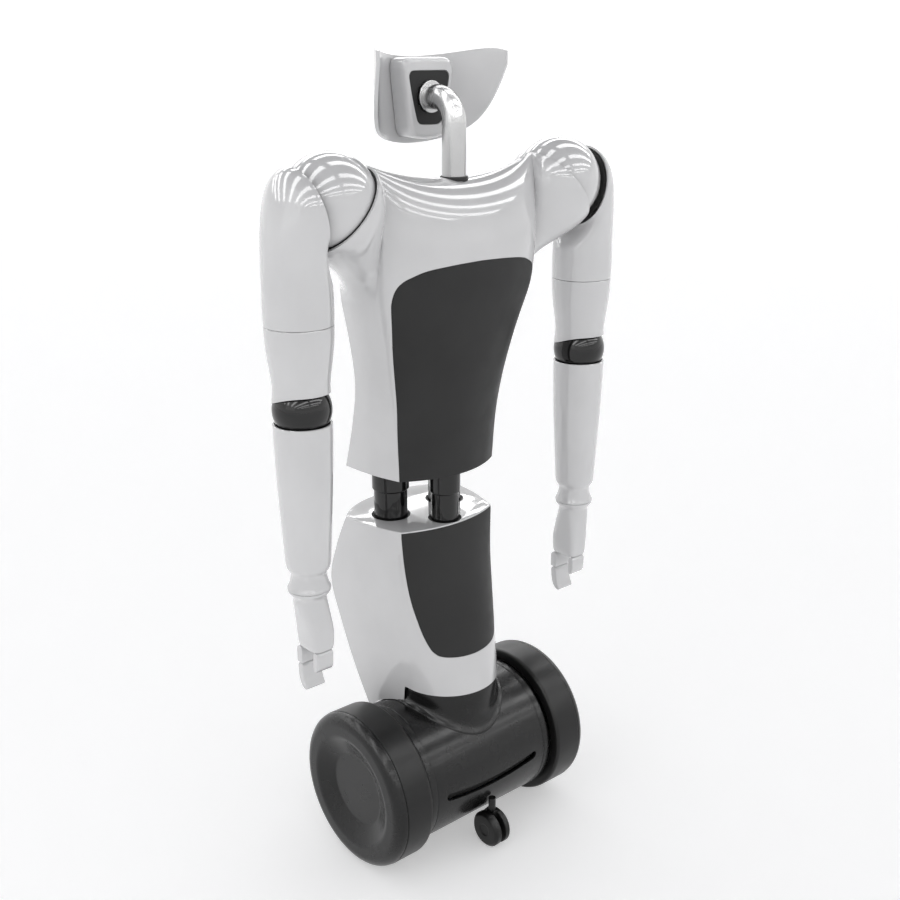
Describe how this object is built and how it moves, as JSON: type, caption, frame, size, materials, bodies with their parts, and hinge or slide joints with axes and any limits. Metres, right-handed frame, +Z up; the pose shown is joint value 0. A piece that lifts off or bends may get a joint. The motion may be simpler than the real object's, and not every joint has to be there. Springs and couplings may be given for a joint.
{
  "type": "self balancing robot",
  "caption": "Upright service robot with a drum base on side wheels, a lifting leg, a shell torso, jointed arms with gripping hands, a swan neck and a curved visor head.",
  "frame": {"origin": "middle of the bounding box at floor level, between the two wheels", "axes": "+Z up, +X along the wheel axle, -Y towards the side that carries the dark leg and torso panels"},
  "size_m": [0.76, 0.3908, 1.4681],
  "materials": {
    "aluminium": "satin",
    "battery_blue": "matt",
    "black_gloss": "gloss",
    "black_housing": "satin",
    "board_green": "matt",
    "charcoal_panel": "matt",
    "satin_steel": "satin",
    "soft_black": "matt",
    "tyre_rubber": "satin",
    "white_shell": "gloss"
  },
  "bodies": {
    "base": {"base_shell": "black_housing", "left_end_plate": "black_housing", "right_end_plate": "black_housing", "left_drive_motor": "aluminium", "right_drive_motor": "aluminium", "battery_pack": "battery_blue", "control_board": "board_green", "slot_sensor_bar": "soft_black", "leg_collar": "black_housing", "leg_shell": "white_shell", "leg_panel": "charcoal_panel", "left_bushing": "soft_black", "right_bushing": "soft_black", "centre_bushing": "soft_black", "lift_actuator": "aluminium"},
    "left_wheel": {"left_tyre": "tyre_rubber", "left_hub": "black_housing"},
    "right_wheel": {"right_tyre": "tyre_rubber", "right_hub": "black_housing"},
    "front_caster_swivel": {"front_caster_fork": "black_housing"},
    "front_caster_roller": {"front_caster_wheel": "tyre_rubber"},
    "rear_caster_swivel": {"rear_caster_fork": "black_housing"},
    "rear_caster_roller": {"rear_caster_wheel": "tyre_rubber"},
    "torso": {"torso_shell": "white_shell", "torso_panel": "charcoal_panel", "torso_base_plate": "black_housing", "spine_frame": "aluminium", "left_column": "black_gloss", "right_column": "black_gloss", "centre_column": "black_gloss", "left_socket_ring": "soft_black", "right_socket_ring": "soft_black", "left_shoulder_motor": "aluminium", "right_shoulder_motor": "aluminium", "neck_motor": "aluminium", "neck_ring": "soft_black"},
    "neck": {"neck_pipe": "satin_steel"},
    "head": {"head_housing": "white_shell", "head_back_panel": "charcoal_panel", "visor": "white_shell"},
    "left_shoulder": {"left_shoulder_ball": "white_shell"},
    "left_arm": {"left_shoulder_liner": "soft_black", "left_upper_arm": "white_shell"},
    "left_elbow": {"left_arm_sleeve": "white_shell", "left_elbow_ball": "black_gloss"},
    "left_lower_arm": {"left_forearm": "white_shell"},
    "left_hand": {"left_palm": "white_shell"},
    "left_finger_base": {"left_finger": "white_shell"},
    "left_finger_end": {"left_fingertip": "white_shell"},
    "left_thumb_base": {"left_thumb": "white_shell"},
    "right_shoulder": {"right_shoulder_ball": "white_shell"},
    "right_arm": {"right_shoulder_liner": "soft_black", "right_upper_arm": "white_shell"},
    "right_elbow": {"right_arm_sleeve": "white_shell", "right_elbow_ball": "black_gloss"},
    "right_lower_arm": {"right_forearm": "white_shell"},
    "right_hand": {"right_palm": "white_shell"},
    "right_finger_base": {"right_finger": "white_shell"},
    "right_finger_end": {"right_fingertip": "white_shell"},
    "right_thumb_base": {"right_thumb": "white_shell"}
  },
  "joints": [
    {"name": "left_wheel_spin", "type": "hinge", "parent": "base", "child": "left_wheel", "pos_m": [-0.19, -0.0285, 0.15], "axis": [1, 0, 0], "continuous": true},
    {"name": "right_wheel_spin", "type": "hinge", "parent": "base", "child": "right_wheel", "pos_m": [0.19, -0.0285, 0.15], "axis": [1, 0, 0], "continuous": true},
    {"name": "front_caster_turn", "type": "hinge", "parent": "base", "child": "front_caster_swivel", "pos_m": [0, -0.1605, 0.09], "axis": [0, 0, 1], "continuous": true},
    {"name": "front_caster_roll", "type": "hinge", "parent": "front_caster_swivel", "child": "front_caster_roller", "pos_m": [0, -0.1605, 0.035], "axis": [1, 0, 0], "continuous": true},
    {"name": "rear_caster_turn", "type": "hinge", "parent": "base", "child": "rear_caster_swivel", "pos_m": [0, 0.1035, 0.09], "axis": [0, 0, 1], "continuous": true},
    {"name": "rear_caster_roll", "type": "hinge", "parent": "rear_caster_swivel", "child": "rear_caster_roller", "pos_m": [0, 0.1035, 0.035], "axis": [1, 0, 0], "continuous": true},
    {"name": "torso_lift", "type": "slide", "parent": "base", "child": "torso", "axis": [0, 0, 1], "range_m": [-0.045, 0.12]},
    {"name": "neck_pan", "type": "hinge", "parent": "torso", "child": "neck", "pos_m": [0, -0.0465, 1.262], "axis": [0, 0, 1], "range_deg": [-180, 180]},
    {"name": "head_tilt", "type": "hinge", "parent": "neck", "child": "head", "pos_m": [0, 0.0375, 1.39], "axis": [1, 0, 0], "range_deg": [-7, 7]},
    {"name": "left_shoulder_swing", "type": "hinge", "parent": "torso", "child": "left_shoulder", "pos_m": [-0.254, -0.042, 1.2395], "axis": [-1, 0, 0], "range_deg": [-60, 90]},
    {"name": "left_shoulder_raise", "type": "hinge", "parent": "left_shoulder", "child": "left_arm", "pos_m": [-0.254, -0.042, 1.2395], "axis": [0, 1, 0], "range_deg": [0, 50]},
    {"name": "left_arm_roll", "type": "hinge", "parent": "left_arm", "child": "left_elbow", "pos_m": [-0.323, -0.0455, 1.054], "axis": [0, 0, 1], "range_deg": [-90, 90]},
    {"name": "left_elbow_bend", "type": "hinge", "parent": "left_elbow", "child": "left_lower_arm", "pos_m": [-0.323, -0.0455, 0.9157], "axis": [-1, 0, 0], "range_deg": [0, 50]},
    {"name": "left_wrist_roll", "type": "hinge", "parent": "left_lower_arm", "child": "left_hand", "pos_m": [-0.323, -0.0455, 0.601], "axis": [0, 0, 1], "range_deg": [-90, 90]},
    {"name": "left_finger_bend", "type": "hinge", "parent": "left_hand", "child": "left_finger_base", "pos_m": [-0.3135, -0.023, 0.477], "axis": [-1, 0, 0], "range_deg": [0, 30]},
    {"name": "left_fingertip_bend", "type": "hinge", "parent": "left_finger_base", "child": "left_finger_end", "pos_m": [-0.3135, -0.023, 0.4447], "axis": [-1, 0, 0], "range_deg": [0, 30]},
    {"name": "left_thumb_bend", "type": "hinge", "parent": "left_hand", "child": "left_thumb_base", "pos_m": [-0.3135, -0.069, 0.48], "axis": [1, 0, 0], "range_deg": [0, 15]},
    {"name": "right_shoulder_swing", "type": "hinge", "parent": "torso", "child": "right_shoulder", "pos_m": [0.254, -0.042, 1.2395], "axis": [-1, 0, 0], "range_deg": [-60, 90]},
    {"name": "right_shoulder_raise", "type": "hinge", "parent": "right_shoulder", "child": "right_arm", "pos_m": [0.254, -0.042, 1.2395], "axis": [0, -1, 0], "range_deg": [0, 50]},
    {"name": "right_arm_roll", "type": "hinge", "parent": "right_arm", "child": "right_elbow", "pos_m": [0.323, -0.0455, 1.054], "axis": [0, 0, 1], "range_deg": [-90, 90]},
    {"name": "right_elbow_bend", "type": "hinge", "parent": "right_elbow", "child": "right_lower_arm", "pos_m": [0.323, -0.0455, 0.9157], "axis": [-1, 0, 0], "range_deg": [0, 50]},
    {"name": "right_wrist_roll", "type": "hinge", "parent": "right_lower_arm", "child": "right_hand", "pos_m": [0.323, -0.0455, 0.601], "axis": [0, 0, 1], "range_deg": [-90, 90]},
    {"name": "right_finger_bend", "type": "hinge", "parent": "right_hand", "child": "right_finger_base", "pos_m": [0.3135, -0.023, 0.477], "axis": [-1, 0, 0], "range_deg": [0, 30]},
    {"name": "right_fingertip_bend", "type": "hinge", "parent": "right_finger_base", "child": "right_finger_end", "pos_m": [0.3135, -0.023, 0.4447], "axis": [-1, 0, 0], "range_deg": [0, 30]},
    {"name": "right_thumb_bend", "type": "hinge", "parent": "right_hand", "child": "right_thumb_base", "pos_m": [0.3135, -0.069, 0.48], "axis": [1, 0, 0], "range_deg": [0, 15]}
  ],
  "couplings": [
    {"joint": "left_fingertip_bend", "follows": "left_finger_bend", "ratio": 1},
    {"joint": "right_fingertip_bend", "follows": "right_finger_bend", "ratio": 1}
  ]
}
